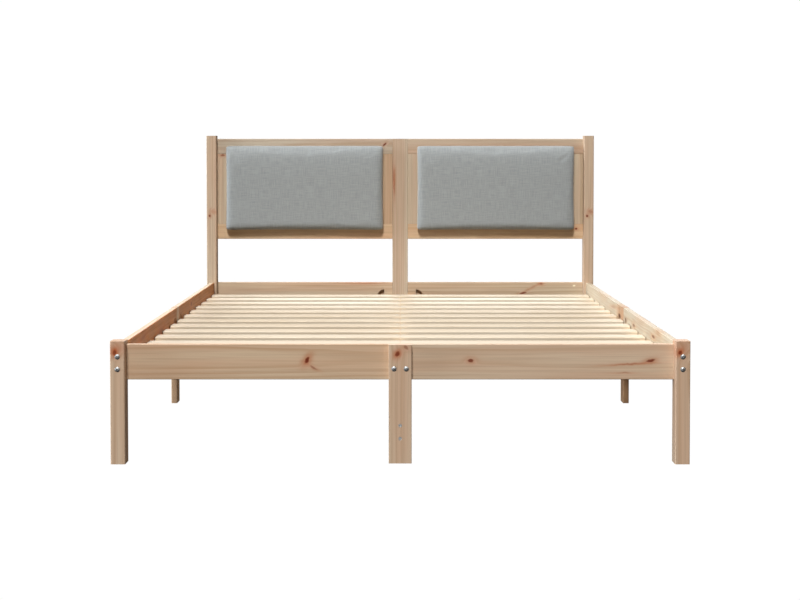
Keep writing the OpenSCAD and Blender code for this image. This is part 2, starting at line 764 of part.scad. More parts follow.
module bolt_nuts() {
    color(zinc) for (s = [-1, 1]) on_side(s) {
        for (e = [-1, 1], j = side_rail_bolts) at_end(e) place(j) barrel_nut(post_d);
        for (j = [foot_rail_bolt, head_rail_bolt, frame_top_bolt, frame_bottom_bolt])
            place(j) barrel_nut(post_w);
        leg_bolt_place() t_nut();
    }
}

module at_studs() {
    for (s = [-1, 1]) on_side(s) place(side_stud) {
        $upright_w = leg_w;
        children();
    }
    for (j = centre_studs) place(j) {
        $upright_w = centre_post_w;
        children();
    }
}

module stud_rods() {
    color(zinc) at_studs() stud_rod($upright_w);
}

module half_moon_washers() {
    color(zinc) at_studs() for (m = [0, 1]) mirror([0, 0, m]) stud_washer($upright_w);
}

module stud_nuts() {
    color(zinc) at_studs() for (m = [0, 1]) mirror([0, 0, m]) stud_nut($upright_w);
}

module wood_dowels() {
    color(beech) {
        for (s = [-1, 1]) on_side(s) for (d = side_dowels) dowel(d);
        for (d = centre_dowels) dowel(d);
    }
}

module wood_screws() {
    color(zinc) {
        for (s = concat(leg_screws, lap_screws)) screw_place(s) screw_body(s[2]);
        for (side = [-1, 1]) on_side(side) {
            for (s = concat(ledger_screws, block_screws, cradle_screws, cushion_screws))
                screw_place(s) screw_body(s[2]);
            for (i = [0 : slat_n - 1], s = [slat_inner_screw(i), slat_outer_screw(i)])
                screw_place(s) screw_body(s[2]);
        }
    }
}

for (s = [-1, 1]) let (side = side_name[s < 0 ? 0 : 1]) {
    foot_post(s);
    head_post(s);
    side_rail(s, -1);
    side_rail(s, 1);
    side_leg(s);
    foot_rail(s);
    head_rail(s);
    headboard_top_rail(s);
    headboard_bottom_rail(s);
    headboard_stile(s, opening_outer_x);
    headboard_stile(s, frame_inner_x);
    cushion_board(s);
    cushion(s);
    ledger(s, -1);
    ledger(s, 1);
    slat_block(s);
}
foot_leg_front();
foot_leg_rear();
head_centre_post();
beam_cradle_foot();
beam_cradle_head();
centre_beam_foot();
centre_beam_head();
centre_beam_leg();
for (i = [1 : slat_n]) slat_row(i - 1);
frame_bolts();
bolt_nuts();
stud_rods();
half_moon_washers();
stud_nuts();
wood_dowels();
wood_screws();
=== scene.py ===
import math

import bpy
import numpy as np
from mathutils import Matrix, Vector


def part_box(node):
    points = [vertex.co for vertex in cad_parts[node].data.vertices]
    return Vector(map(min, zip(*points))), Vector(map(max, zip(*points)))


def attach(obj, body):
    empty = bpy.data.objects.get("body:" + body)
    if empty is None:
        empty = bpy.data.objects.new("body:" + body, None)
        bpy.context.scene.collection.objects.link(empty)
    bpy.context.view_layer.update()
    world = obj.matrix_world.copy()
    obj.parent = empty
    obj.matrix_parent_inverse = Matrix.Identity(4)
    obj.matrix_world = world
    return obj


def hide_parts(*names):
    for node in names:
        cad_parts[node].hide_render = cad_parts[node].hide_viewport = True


# A pine bed frame with a slatted base, and a headboard of two cushioned halves

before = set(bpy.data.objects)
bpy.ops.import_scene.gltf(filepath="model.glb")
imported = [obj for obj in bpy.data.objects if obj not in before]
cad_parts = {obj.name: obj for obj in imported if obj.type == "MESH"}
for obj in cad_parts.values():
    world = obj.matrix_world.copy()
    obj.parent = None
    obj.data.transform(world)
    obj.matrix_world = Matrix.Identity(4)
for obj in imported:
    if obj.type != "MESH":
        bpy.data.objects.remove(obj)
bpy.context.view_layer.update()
scene = bpy.context.scene
mm = 0.001
everyOut = slice(None)


# An sRGB hex colour as linear red, green, blue and alpha.
def linear(hexColour):
    parts = np.array([int(hexColour[i:i + 2], 16) for i in (0, 2, 4)]) / 255
    curved = np.where(parts <= 0.04045, parts / 12.92, ((parts + 0.055) / 1.055) ** 2.4)
    return (*curved.tolist(), 1.0)


# Adds one node, gives its inputs numbers, colours or other nodes' outputs, and returns the output
# that is asked for, or a list of them all for everyOut. Inputs go by name or number: 0 to 4 of a
# Map Range are its value, from, to, and what these two turn into; 0, 6 and 7 of a Mix are its factor
# and two colours, and 0, 2 and 3 its factor and two numbers.
def addNode(tree, kind, inputs=None, out=0, **settings):
    node = tree.nodes.new(kind)
    for key, value in settings.items():
        setattr(node, key, value)
    for key, value in (inputs or {}).items():
        if isinstance(value, bpy.types.NodeSocket):
            tree.links.new(value, node.inputs[key])
        else:
            node.inputs[key].default_value = value
    return node.outputs[out] if len(node.outputs) else None


# A new material with its node tree emptied.
def newMaterial(name):
    material = bpy.data.materials.new(name)
    material.use_nodes = True
    material.node_tree.nodes.clear()
    return material, material.node_tree


# Ends a material in a Principled shader with a bump.
def closeMaterial(tree, inputs, height, depth, strength):
    bump = {"Height": height, "Distance": depth, "Strength": strength}
    inputs["Normal"] = addNode(tree, "ShaderNodeBump", bump)
    surface = addNode(tree, "ShaderNodeBsdfPrincipled", inputs)
    addNode(tree, "ShaderNodeOutputMaterial", {"Surface": surface})


# Gives a CAD node's object one material.
def dress(node, material):
    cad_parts[node].data.materials.clear()
    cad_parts[node].data.materials.append(material)


# Camera

camera = {
    "place": (-0.45 * mm, -5.052, 0.7678),  # 4 m in front of the foot posts, above the slats
    "tilt": 2.191,  # degrees down from level
    "lens": 72.36,  # mm, as is the sensor
    "sensor": 36,
    "shift": -0.1,  # about the least that fits uprights that stay parallel
}


def makeCamera():
    data = bpy.data.cameras.new("camera")
    data.lens = camera["lens"]
    data.sensor_width = camera["sensor"]
    data.shift_y = camera["shift"]
    view = bpy.data.objects.new("camera", data)
    view.location = camera["place"]
    view.rotation_euler = (math.radians(90 - camera["tilt"]), 0, 0)
    scene.collection.objects.link(view)
    scene.camera = view


makeCamera()
print("camera is set")


# Studio: a pale floor, a white backdrop all round, and soft lights

studio = {
    "aim": (0, 0, 0.4),
    "floorRadius": 6,
    "domeRadius": 60,
    "rings": 25,  # in the floor, and in the backdrop
    "turns": 48,  # points in a ring
    "whiteGlow": 1.01,  # just white, so that it doesn't eat into the edges of the bed
    "skyTone": "ffd9bb",
    "skyGlow": 0.15,  # from above the horizon
    "groundGlow": 0.03,  # from below it
    "horizon": (-0.1, 0.25),  # the rise over which the one passes into the other
}
lamps = {  # direction to it, distance and size (m), strength on a surface that faces it, colour
    "front_softbox": ((-0.09, -0.67, 0.73), 25, 5, 0.905, "fffefc"),
    "top_softbox": ((-0.05, 0.12, 1.0), 25, 10, 0.38, "fdfeff"),
    "left_softbox": ((-0.99, -0.08, 0.20), 25, 11, 0.95, "f6faff"),
    "rear_left_softbox": ((-0.72, 0.69, 0.15), 25, 10, 0.27, "fffcf8"),
    "rear_softbox": ((0.02, 0.94, 0.34), 25, 10, 0.2, "fffdfa"),
    "rear_right_bounce": ((0.8, 0.5, -0.3), 25, 10, 0.11, "fff3e6"),  # as off the white floor
}


def makeLamp(name, direction, distance, size, strength, tone):
    data = bpy.data.lights.new(name, "AREA")
    data.shape = "DISK"
    data.size = size
    data.color = linear(tone)[:3]
    data.energy = strength * math.pi ** 2 * distance ** 2  # radiance of a white face is strength
    lamp = bpy.data.objects.new(name, data)
    aim = Vector(studio["aim"])
    towards = Vector(direction).normalized()
    lamp.location = aim + towards * distance
    lamp.rotation_euler = towards.to_track_quat("Z", "Y").to_euler()
    scene.collection.objects.link(lamp)


# A round sheet on the floor, or a ball round the whole studio: ring by ring, its points lie at a
# share of the radius and an angle. On the ball, reach = sin and height = cos of the ring's angle.
def roundSurface(name, radius, ball):
    steps = np.linspace(0, 1, studio["rings"])
    angles = np.linspace(0, 2 * math.pi, studio["turns"], endpoint=False)
    rings, turns = np.meshgrid(steps, angles, indexing="ij")
    reach = np.sin(rings * math.pi) if ball else rings
    height = np.cos(rings * math.pi) if ball else np.zeros_like(rings)
    points = np.stack([reach * np.cos(turns), reach * np.sin(turns), height], -1) * radius
    sheet = bpy.data.objects.new(name, ringMesh(name, points))
    scene.collection.objects.link(sheet)
    return sheet


# A mesh from rings of points: each cell between two rings is a face, and the rings are closed.
def ringMesh(name, points):
    index = np.arange(points[..., 0].size).reshape(points.shape[:2])
    following = np.roll(index, -1, axis=1)
    faces = np.stack([index[:-1], following[:-1], following[1:], index[1:]], -1)
    mesh = bpy.data.meshes.new(name)
    mesh.from_pydata(points.reshape(-1, 3).tolist(), [], faces.reshape(-1, 4).tolist())
    mesh.update()
    return mesh


def makeWorld():
    world = bpy.data.worlds.new("studio")
    world.use_nodes = True
    tree = world.node_tree
    tree.nodes.clear()
    towards = addNode(tree, "ShaderNodeTexCoord", out="Generated")
    rise = addNode(tree, "ShaderNodeSeparateXYZ", {0: towards}, out="Z")
    bottom, top = studio["horizon"]
    glow = addNode(tree, "ShaderNodeMapRange",
                   {0: rise, 1: bottom, 2: top, 3: studio["groundGlow"], 4: studio["skyGlow"]})
    fill = addNode(tree, "ShaderNodeBackground", {"Color": linear(studio["skyTone"]), "Strength": glow})
    addNode(tree, "ShaderNodeOutputWorld", {"Surface": fill})
    scene.world = world
    scene.view_settings.view_transform = "Standard"


def makeStudio():
    for name, lamp in lamps.items():
        makeLamp(name, *lamp)
    makeWorld()
    floor = roundSurface("floor", studio["floorRadius"], ball=False)
    dome = roundSurface("backdrop", studio["domeRadius"], ball=True)
    for sheet in (floor, dome):  # seen, but they neither light nor shade the bed
        material, tree = newMaterial("white light sheet of the " + sheet.name)
        glow = addNode(tree, "ShaderNodeEmission",
                       {"Color": linear("ffffff"), "Strength": studio["whiteGlow"]})
        addNode(tree, "ShaderNodeOutputMaterial", {"Surface": glow})
        material.cycles.emission_sampling = "NONE"
        sheet.data.materials.append(material)
        sheet.visible_diffuse = False
        sheet.visible_glossy = False
        sheet.visible_shadow = False


makeStudio()
print("studio is lit")


# Waxed pine: flat-sawn boards planed smooth and waxed. The eye sees pale early wood, darker bands
# of late wood that run along the board and bend round knots, and a soft gloss.

pine = {
    "early": "dac8af",
    "warm": "d6b89d",
    "late": "b99775",
    "fibre": "baa086",
    "halo": "bd683b",
    "knot": "742c11",
    "pale": "fff6de",
    "ring": 6.5,  # mm between bands of late wood, drawn coarser than the real 3 mm so that it shows
    "wobble": 14,  # mm that the bands wander
    "roughness": 0.46,
    "depth": 0.12,  # mm of bump
}
# Paler or rougher boards: the slats, the side rails, and the strips and beams under the slats
slatPine = dict(pine, early="ddd2be", warm="d9cab3", late="d0bb9c", fibre="cdbda2", ring=8, wobble=5,
                roughness=0.5, depth=0.04)
railPine = dict(pine, early="e2d6c0", warm="dfcdb1", late="c8a37c", fibre="cbaf8d", halo="d99457",
                knot="6e3717")
battenPine = dict(pine, early="e0c8a6", warm="dcbf9a", late="bd9669", fibre="c2a27a", roughness=0.62)

grain = {  # what all boards share
    "seedTurn": 0.7,  # a board's seed moves its noise by this much across it, for 1 along it
    "otherBoard": (900, 23, 17),  # mm between the wood of the two halves of a row of slats
    "taper": 0.012,  # what a step along the board adds to the distance from the pith
    "ragged": (7, 5, 0),  # mm that a knot's outline wavers along, across and through the board
    "knotFall": 0.24,  # how fast a knot's hold on the wood round it falls off
    "knotLift": 1.3,  # how far it pushes the bands aside, in half widths
    "widestLift": 7,  # mm of half width that count for this
    "knotRim": (0.25, 1.5),  # where its core starts to fade and where it ends, as squared radii
    "stain": 0.62,  # how strongly resin colours the wood round it
    "paintedShadeEdge": (4, 1),  # mm under the face, where the painted shade starts and where it is full
    "endStain": 0.08,  # how far cut ends, which drink the wax, go darker
    "glossSpan": (0.3, 0.7),  # the noise of the fibres
    "glossPlay": (-0.05, 0.08),  # and what is added to the roughness at its two ends
    "bump": 0.6,
}
# Noise drawn out along the board: mm along, across and through it, detail, offset and output
patterns = {
    "wander": ((770, 167, 167), 2, 3.1, "Color"),
    "ragged": ((14, 9, 33), 2, 9.7, "Color"),
    "fade": ((830, 33, 33), 2, 5.3, 0),
    "tone": ((555, 45, 45), 3, 1.9, 0),
    "thread": ((250, 4, 4), 3, 7.7, 0),  # coarser than real fibres, so that they show
}
# The span of noise, or of the way from ring to ring, that counts, and the shares at its ends
shares = {
    "rise": ("SMOOTHSTEP", 0.25, 0.88, 0.0, 1.0),  # a band darkens slowly towards the bark side
    "fall": ("SMOOTHSTEP", 0.9, 1.0, 1.0, 0.0),  # and breaks off sharply
    "fade": ("LINEAR", 0.38, 0.66, 0.1, 0.55),
    "tone": ("LINEAR", 0.36, 0.64, 0.0, 1.0),
    "fibre": ("LINEAR", 0.45, 0.72, 0.0, 0.5),
}

# A knot is along, across, half length, half width (mm), lean (degrees), darkness, halo. A darkness
# below nothing makes a pale fleck.
knots = {
    "foot_rail_left": [(-235, 259.5, 9, 5, 55, 0.95, 1.3), (-219, 240, 10, 2.5, -30, 0.45, 0.5)],
    "foot_rail_right": [(178, 258, 7, 4.5, 0, 0.85, 0.8), (632, 258, 11, 4, 10, 0.9, 0.8),
                        (578, 249, 34, 1.6, 3, 0.25, 0.9), (565, 227, 20, 1.2, 0, 0.25, 0.5)],
    "foot_post_left": [(282, -716, 6, 4.5, 20, 0.7, 1.4), (293, -709, 10, 26, 0, 0.0, 0.6)],
    "foot_post_right": [(282, 701, 5.5, 4.5, 30, 0.8, 1.4), (297, 707, 12, 22, 0, 0.0, 0.5)],
    "foot_leg_front": [(277, -6.5, 7, 5, 40, 0.85, 1.5), (293, 15, 4, 7, 40, 0.5, 0.4)],
    "head_post_left": [(552, -716, 5, 4, 0, 0.9, 0.7), (568, -702, 5, 9, 20, 0.0, 0.7)],
    "head_post_right": [(552, 703, 5, 4, 0, 0.9, 0.7), (568, 716, 5, 8, 20, 0.2, 0.8)],
    "headboard_outer_stile_left": [(780, -669, 4, 8, 0, 0.6, 0.8)],
    "headboard_top_rail_left": [(-58, 821, 8, 4, 50, 0.9, 0.6)],
    # A dark spot on headboard_bottom_rail_right, just beside the right cushion's bottom right corner, where
    # the cushion's shadow falls
    "headboard_bottom_rail_right": [(664, 503, 5, 4, 0, 1.0, 0.6)],
    "head_centre_post": [(700, -24, 26, 3.5, 0, 0.15, 0.8), (655, -22, 30, 2, 0, 0.25, 0.7)],
    "head_rail_left": [(-135, 297, 45, 3, 0, 0.0, 0.8)],
    "head_rail_right": [(534, 294, 6, 4, 0, 0.4, 0.8), (465, 259, 14, 3, 10, 0.9, 0.4),
                        (500, 280, 30, 2.5, 28, 0.1, 0.6), (658, 287, 6, 3, 0, -1.0, 0.0)],
    "side_rail_right_foot": [(-620, 275, 24, 5, 0, 0.8, 0.9), (-251, 268, 20, 5, 0, 0.7, 0.9),
                             (-700, 294, 30, 6, 0, 0.1, 0.7), (-382, 296, 60, 8, 0, 0.0, 0.5),
                             (-80, 267, 18, 6, 0, 0.6, 0.6)],
    "side_rail_right_head": [(62, 266, 34, 8, 0, 0.75, 1.0), (60, 288, 26, 10, 0, 0.2, 0.8),
                             (205, 282, 62, 4, -4, 0.15, 0.8), (467, 294, 60, 10, 0, 0.0, 0.4)],
    "side_rail_left_foot": [(-356, 262, 40, 8, 0, 0.3, 0.8), (-700, 280, 60, 6, 5, 0.1, 0.6)],
    "side_rail_left_head": [(320, 281, 14, 7, 0, 0.6, 0.8)],
}

# A colour laid over single boards: mostly wood that is duller than the rest, but on side_leg_right, which
# stands in shade under the bed, it is painted shade, and on the headboard's bottom rails its warm cast is
# partly painted shade, from the cushions' shadow over them
tones = {
    "headboard_top_rail_left": "eaeff5", "headboard_top_rail_right": "ebe9ea",
    # the bottom rails: a warm cast that is partly painted shade
    "headboard_bottom_rail_left": "fdf2e4", "headboard_bottom_rail_right": "fdf2e4",
    "headboard_outer_stile_left": "f8fcfd", "headboard_outer_stile_right": "f6fafb",
    "headboard_inner_stile_left": "eee7df", "headboard_inner_stile_right": "eff1f2",
    "head_post_left": "f5f5f6", "head_post_right": "f5f6f7", "head_centre_post": "eff4f9",
    "head_rail_left": "fdfbf8", "head_rail_right": "f8f8f4",
    "side_rail_right_foot": "e4e8ea", "side_rail_right_head": "e6eaeb",
    # side_leg_right: a dark warm colour that is painted shade
    "side_leg_left": "fdf2e7", "side_leg_right": "e2c9b3", "foot_rail_left": "fdf6ef",
}
# Painted shade: a warm dark colour on one face, the inner face of each left side rail, which faces away from
# the left lamp; 1 is the face towards +, and -1 the other one
paintedShadeFaces = {"side_rail_left_foot": ("ee9d40", 1), "side_rail_left_head": ("eca24c", 1)}


# Where a point lies along, across and through its board, in metres from the board's middle
def boardPlace(tree, order, centre, halves):
    place = addNode(tree, "ShaderNodeTexCoord", out="Object")
    split = addNode(tree, "ShaderNodeSeparateXYZ", {0: place}, out=everyOut)
    turned = addNode(tree, "ShaderNodeCombineXYZ", {i: split[order[i]] for i in range(3)})
    local = addNode(tree, "ShaderNodeVectorMath", {0: turned, 1: centre}, operation="SUBTRACT")
    if halves:  # the two halves of a row are cut from different boards
        half = addNode(tree, "ShaderNodeMath", {0: split[0], 1: 0.0}, operation="GREATER_THAN")
        away = [a * mm for a in grain["otherBoard"]]
        local = addNode(tree, "ShaderNodeVectorMath", {0: half, 1: away, 2: local},
                        operation="MULTIPLY_ADD")
    return local


# All the noise of a board by name. The coloured ones push points about, so they lie round zero.
def boardNoise(tree, local, seed):
    noise = {}
    for key, (size, detail, offset, out) in patterns.items():
        scale = [1 / (s * mm) for s in size]
        start = (seed + offset, seed * grain["seedTurn"], offset)
        spot = addNode(tree, "ShaderNodeVectorMath", {0: local, 1: scale, 2: start},
                       operation="MULTIPLY_ADD")
        noise[key] = addNode(tree, "ShaderNodeTexNoise",
                             {"Vector": spot, "Scale": 1.0, "Detail": detail}, out=out)
        if out == "Color":
            noise[key] = addNode(tree, "ShaderNodeVectorMath", {0: noise[key], 1: (0.5, 0.5, 0.5)},
                                 operation="SUBTRACT")
    return noise


# Knots: with r = 1 on a knot's rim, bell = exp(-knotFall r^2). It lifts the distance from the pith,
# so that the bands bend round the knot, and it stains the wood. The core fades out across the rim.
# Returns the lifted distance, the stain, the cores and a pale fleck.
def boardKnots(tree, node, centre, local, ragged, distance):
    waver = [r * mm for r in grain["ragged"]]
    place = addNode(tree, "ShaderNodeVectorMath", {0: ragged, 1: waver, 2: local},
                    operation="MULTIPLY_ADD")
    halo, core, pale = 0.0, 0.0, 0.0
    for along, across, halfLength, halfWidth, lean, dark, glow in knots[node]:
        spot = addNode(tree, "ShaderNodeMapping", {
            "Vector": place,
            "Location": (along * mm - centre[0], across * mm - centre[1], 0),
            "Rotation": (0, 0, math.radians(lean)),
            "Scale": (halfLength * mm, halfWidth * mm, 1)}, vector_type="TEXTURE")
        square = addNode(tree, "ShaderNodeVectorMath", {0: spot, 1: spot}, out="Value",
                         operation="DOT_PRODUCT")
        bell = addNode(tree, "ShaderNodeMath", {0: square, 1: -grain["knotFall"]}, operation="MULTIPLY")
        bell = addNode(tree, "ShaderNodeMath", {0: bell}, operation="EXPONENT")
        lift = min(halfWidth, grain["widestLift"]) * grain["knotLift"] * mm
        distance = addNode(tree, "ShaderNodeMath", {0: bell, 1: lift, 2: distance},
                           operation="MULTIPLY_ADD")
        halo = addNode(tree, "ShaderNodeMath", {0: bell, 1: glow, 2: halo}, operation="MULTIPLY_ADD")
        inner, outer = grain["knotRim"]
        heart = addNode(tree, "ShaderNodeMapRange", {0: square, 1: inner, 2: outer, 3: abs(dark), 4: 0.0},
                        interpolation_type="SMOOTHSTEP")
        if dark < 0:
            pale = heart
        else:
            core = addNode(tree, "ShaderNodeMath", {0: core, 1: heart}, operation="MAXIMUM")
    stain = addNode(tree, "ShaderNodeMath", {0: halo, 1: grain["stain"]}, operation="MULTIPLY",
                    use_clamp=True)
    return distance, stain, core, pale


# How much painted shade a board gets, from 0 inside the board to 1 at one of its faces
def paintedShadeShare(tree, local, reach, side):
    through = addNode(tree, "ShaderNodeSeparateXYZ", {0: local}, out="Z")
    start, full = [side * (reach - e * mm) for e in grain["paintedShadeEdge"]]
    return addNode(tree, "ShaderNodeMapRange", {0: through, 1: start, 2: full, 3: 0.0, 4: 1.0},
                   interpolation_type="SMOOTHSTEP")


# How much darker a cut end is: endStain * (normal . lengthwise)^2
def endShare(tree, lengthwise):
    facing = addNode(tree, "ShaderNodeTexCoord", out="Normal")
    ends = addNode(tree, "ShaderNodeVectorMath", {0: facing, 1: lengthwise}, out="Value",
                   operation="DOT_PRODUCT")
    ends = addNode(tree, "ShaderNodeMath", {0: ends, 1: ends}, operation="MULTIPLY")
    return addNode(tree, "ShaderNodeMath", {0: ends, 1: grain["endStain"]}, operation="MULTIPLY")


# The distance from the pith, in rings, makes the bands; each knot lifts that distance around it,
# so that the bands close into eyes. Tones and fibres come from noise drawn out along the board.
def waxedPine(name, node, looks, axes, pith, seed, halves=False):
    material, tree = newMaterial(name)
    low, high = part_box(node)
    order = ["XYZ".index(a) for a in axes]  # along, across, through the board
    centre = [(low[i] + high[i]) / 2 for i in order]
    local = boardPlace(tree, order, centre, halves)
    noise = boardNoise(tree, local, seed)

    wobble = looks["wobble"] * mm
    fromPith = addNode(tree, "ShaderNodeVectorMath", {0: local, 1: (0, pith[0] * mm, pith[1] * mm)},
                       operation="SUBTRACT")
    fromPith = addNode(tree, "ShaderNodeVectorMath",
                       {0: noise["wander"], 1: (0, wobble, wobble), 2: fromPith},
                       operation="MULTIPLY_ADD")
    fromPith = addNode(tree, "ShaderNodeVectorMath", {0: fromPith, 1: (grain["taper"], 1, 1)},
                       operation="MULTIPLY")
    distance = addNode(tree, "ShaderNodeVectorMath", {0: fromPith}, out="Value", operation="LENGTH")
    if node in knots:
        distance, stain, core, pale = boardKnots(tree, node, centre, local, noise["ragged"], distance)

    rings = addNode(tree, "ShaderNodeMath", {0: distance, 1: 1 / (looks["ring"] * mm)},
                    operation="MULTIPLY")
    phase = addNode(tree, "ShaderNodeMath", {0: rings}, operation="FRACT")
    sources = {"rise": phase, "fall": phase, "fade": noise["fade"], "tone": noise["tone"],
               "fibre": noise["thread"]}
    share = {}
    for key, (curve, *span) in shares.items():
        share[key] = addNode(tree, "ShaderNodeMapRange", dict(enumerate([sources[key], *span])),
                             interpolation_type=curve)
    band = addNode(tree, "ShaderNodeMath", {0: share["rise"], 1: share["fall"]}, operation="MULTIPLY")
    band = addNode(tree, "ShaderNodeMath", {0: band, 1: share["fade"]}, operation="MULTIPLY")

    layers = [(share["tone"], looks["warm"], "MIX"), (band, looks["late"], "MIX"),
              (share["fibre"], looks["fibre"], "MIX")]
    if node in knots:
        layers += [(stain, looks["halo"], "MIX"), (core, looks["knot"], "MIX"),
                   (pale, looks["pale"], "MIX")]
    if node in tones:
        layers.append((1.0, tones[node], "MULTIPLY"))
    # painted shade: a warm dark colour on one face of the board
    if node in paintedShadeFaces:
        shadeTint, side = paintedShadeFaces[node]
        reach = (high[order[2]] - low[order[2]]) / 2
        layers.append((paintedShadeShare(tree, local, reach, side), shadeTint, "MULTIPLY"))
    lengthwise = [1.0 if i == order[0] else 0.0 for i in range(3)]
    layers.append((endShare(tree, lengthwise), looks["late"], "MIX"))
    colour = linear(looks["early"])
    for factor, tint, way in layers:
        colour = addNode(tree, "ShaderNodeMix", {0: factor, 6: colour, 7: linear(tint)}, out=2,
                         data_type="RGBA", blend_type=way)

    start, end = grain["glossSpan"]
    smoother, rougher = [looks["roughness"] + play for play in grain["glossPlay"]]
    gloss = addNode(tree, "ShaderNodeMapRange",
                    {0: noise["thread"], 1: start, 2: end, 3: smoother, 4: rougher})
    height = addNode(tree, "ShaderNodeMath", {0: noise["thread"], 1: band}, operation="SUBTRACT")
    closeMaterial(tree, {"Base Color": colour, "Roughness": gloss}, height, looks["depth"] * mm,
                  grain["bump"])
    return material


# Which way each board's grain runs and where the tree's pith lay from its middle, in mm
boards = [
    ("foot_post_", "ZXY", (30, 45)), ("head_post_", "ZXY", (-34, 52)),
    ("foot_rail_", "XZY", (8, 62)), ("head_rail_", "XZY", (-12, 55)),
    ("side_leg_", "ZYX", (18, 60)),
    ("foot_leg_", "ZXY", (26, 48)), ("head_centre_post", "ZXY", (-52, 40)),
    ("headboard_top_", "XZY", (10, 60)), ("headboard_bottom_", "XZY", (-14, 58)),
    ("headboard_outer_", "ZXY", (20, 60)), ("headboard_inner_", "ZXY", (-22, 52)),
]
rails = [("side_rail_", "YZX", (-10, 58))]
battens = [("ledger_", "YZX", (14, 30)), ("slat_block_", "YZX", (10, 34)), ("beam_cradle_", "XZY", (12, 40)),
           ("centre_beam_foot", "YZX", (10, 44)), ("centre_beam_head", "YZX", (-12, 42)),
           ("centre_beam_leg", "ZXY", (22, 40))]

lots = {  # how boards are drawn from the pile
    "start": 11,  # of the random draws
    "pithPlay": 9,  # mm about where the pith is given
    "slatPith": ((-30, 30), (26, 60)),  # mm
    "seeds": 60,
}


def dressWood():
    chance = np.random.default_rng(lots["start"])
    play = lots["pithPlay"]
    names = sorted(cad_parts)
    for looks, kind, rules in ((pine, "waxed pine", boards), (railPine, "pale waxed pine", rails),
                               (battenPine, "sawn pine", battens)):
        for start, axes, pith in rules:
            for node in [n for n in names if n.startswith(start)]:
                moved = [p + chance.uniform(-play, play) for p in pith]
                seed = chance.uniform(0, lots["seeds"])
                dress(node, waxedPine(kind + " " + node, node, looks, axes, moved, seed))
    for node in [n for n in names if n.startswith("slat_row_")]:
        moved = [chance.uniform(*span) for span in lots["slatPith"]]
        seed = chance.uniform(0, lots["seeds"])
        dress(node, waxedPine("planed pine " + node, node, slatPine, "XYZ", moved, seed, halves=True))


dressWood()
print("boards and slats are finished in pine")


# Poplar plywood, sanded: a pale, faintly streaked face, and veneers that show as stripes on the edge

plywood = {
    "face": "d9bf95",
    "stripe": "a9855a",
    "streak": (200, 200, 16.67),  # mm across, through and up the board
    "streakSpan": (0.4, 0.7),
    "streakMost": 0.5,
    "veneer": 1.8,  # mm
    "roughness": 0.6,
    "depth": 0.1,  # mm of bump
    "bump": 0.5,
}


def makePlywood():
    material, tree = newMaterial("poplar plywood")
    place = addNode(tree, "ShaderNodeTexCoord", out="Object")
    stretched = addNode(tree, "ShaderNodeVectorMath",
                        {0: place, 1: [1 / (s * mm) for s in plywood["streak"]]}, operation="MULTIPLY")
    streaks = addNode(tree, "ShaderNodeTexNoise", {"Vector": stretched, "Scale": 1.0, "Detail": 4})
    layer = addNode(tree, "ShaderNodeSeparateXYZ", {0: place}, out="Y")
    layer = addNode(tree, "ShaderNodeMath", {0: layer, 1: 1 / (2 * plywood["veneer"] * mm)},
                    operation="MULTIPLY")
    layer = addNode(tree, "ShaderNodeMath", {0: layer}, operation="FRACT")
    layer = addNode(tree, "ShaderNodeMath", {0: layer, 1: 0.5}, operation="GREATER_THAN")
    facing = addNode(tree, "ShaderNodeTexCoord", out="Normal")
    flat = addNode(tree, "ShaderNodeSeparateXYZ", {0: facing}, out="Y")
    flat = addNode(tree, "ShaderNodeMath", {0: flat}, operation="ABSOLUTE")
    edge = addNode(tree, "ShaderNodeMath", {0: 1.0, 1: flat}, operation="SUBTRACT")
    stripe = addNode(tree, "ShaderNodeMath", {0: edge, 1: layer}, operation="MULTIPLY")
    start, end = plywood["streakSpan"]
    streak = addNode(tree, "ShaderNodeMapRange",
                     {0: streaks, 1: start, 2: end, 3: 0.0, 4: plywood["streakMost"]})
    amount = addNode(tree, "ShaderNodeMath", {0: stripe, 1: streak}, operation="MAXIMUM")
    colour = addNode(tree, "ShaderNodeMix",
                     {0: amount, 6: linear(plywood["face"]), 7: linear(plywood["stripe"])},
                     out=2, data_type="RGBA")
    closeMaterial(tree, {"Base Color": colour, "Roughness": plywood["roughness"]}, streaks,
                  plywood["depth"] * mm, plywood["bump"])
    return material


# Zinc-plated steel, bright and faintly blue, with a fine satin grain

zinc = {
    "bright": "c8ccce",
    "dull": "9ca1a4",
    "grain": 1.2,  # mm
    "grainSpan": (0.35, 0.7),  # the noise between which bright turns dull
    "roughness": 0.47,
    "roughSpan": (0.3, 0.7),
    "roughPlay": 0.16,
    "depth": 0.02,  # mm of bump
    "bump": 0.3,
}
screwZinc = dict(zinc, bright="f0f1f1", dull="c4c7c8", roughness=0.55)


def makeZinc(name, looks):
    material, tree = newMaterial(name)
    place = addNode(tree, "ShaderNodeTexCoord", out="Object")
    cloud = addNode(tree, "ShaderNodeTexNoise",
                    {"Vector": place, "Scale": 1 / (looks["grain"] * mm), "Detail": 3})
    start, end = looks["grainSpan"]
    amount = addNode(tree, "ShaderNodeMapRange", {0: cloud, 1: start, 2: end, 3: 0.0, 4: 1.0})
    colour = addNode(tree, "ShaderNodeMix",
                     {0: amount, 6: linear(looks["bright"]), 7: linear(looks["dull"])},
                     out=2, data_type="RGBA")
    start, end = looks["roughSpan"]
    rough = addNode(tree, "ShaderNodeMapRange",
                    {0: cloud, 1: start, 2: end, 3: looks["roughness"],
                     4: looks["roughness"] + looks["roughPlay"]})
    closeMaterial(tree, {"Base Color": colour, "Metallic": 1.0, "Roughness": rough}, cloud,
                  looks["depth"] * mm, looks["bump"])
    return material


# Turned beech, for the dowels: close-grained, with short dark flecks

beech = {
    "wood": "cfa877",
    "fleck": "a67c50",
    "fleckWidth": 1.0,  # mm
    "fleckSpan": (0.1, 0.45),  # from a fleck's middle to its edge
    "fleckMost": 0.7,
    "roughness": 0.55,
    "depth": 0.03,  # mm of bump
    "bump": 0.4,
}


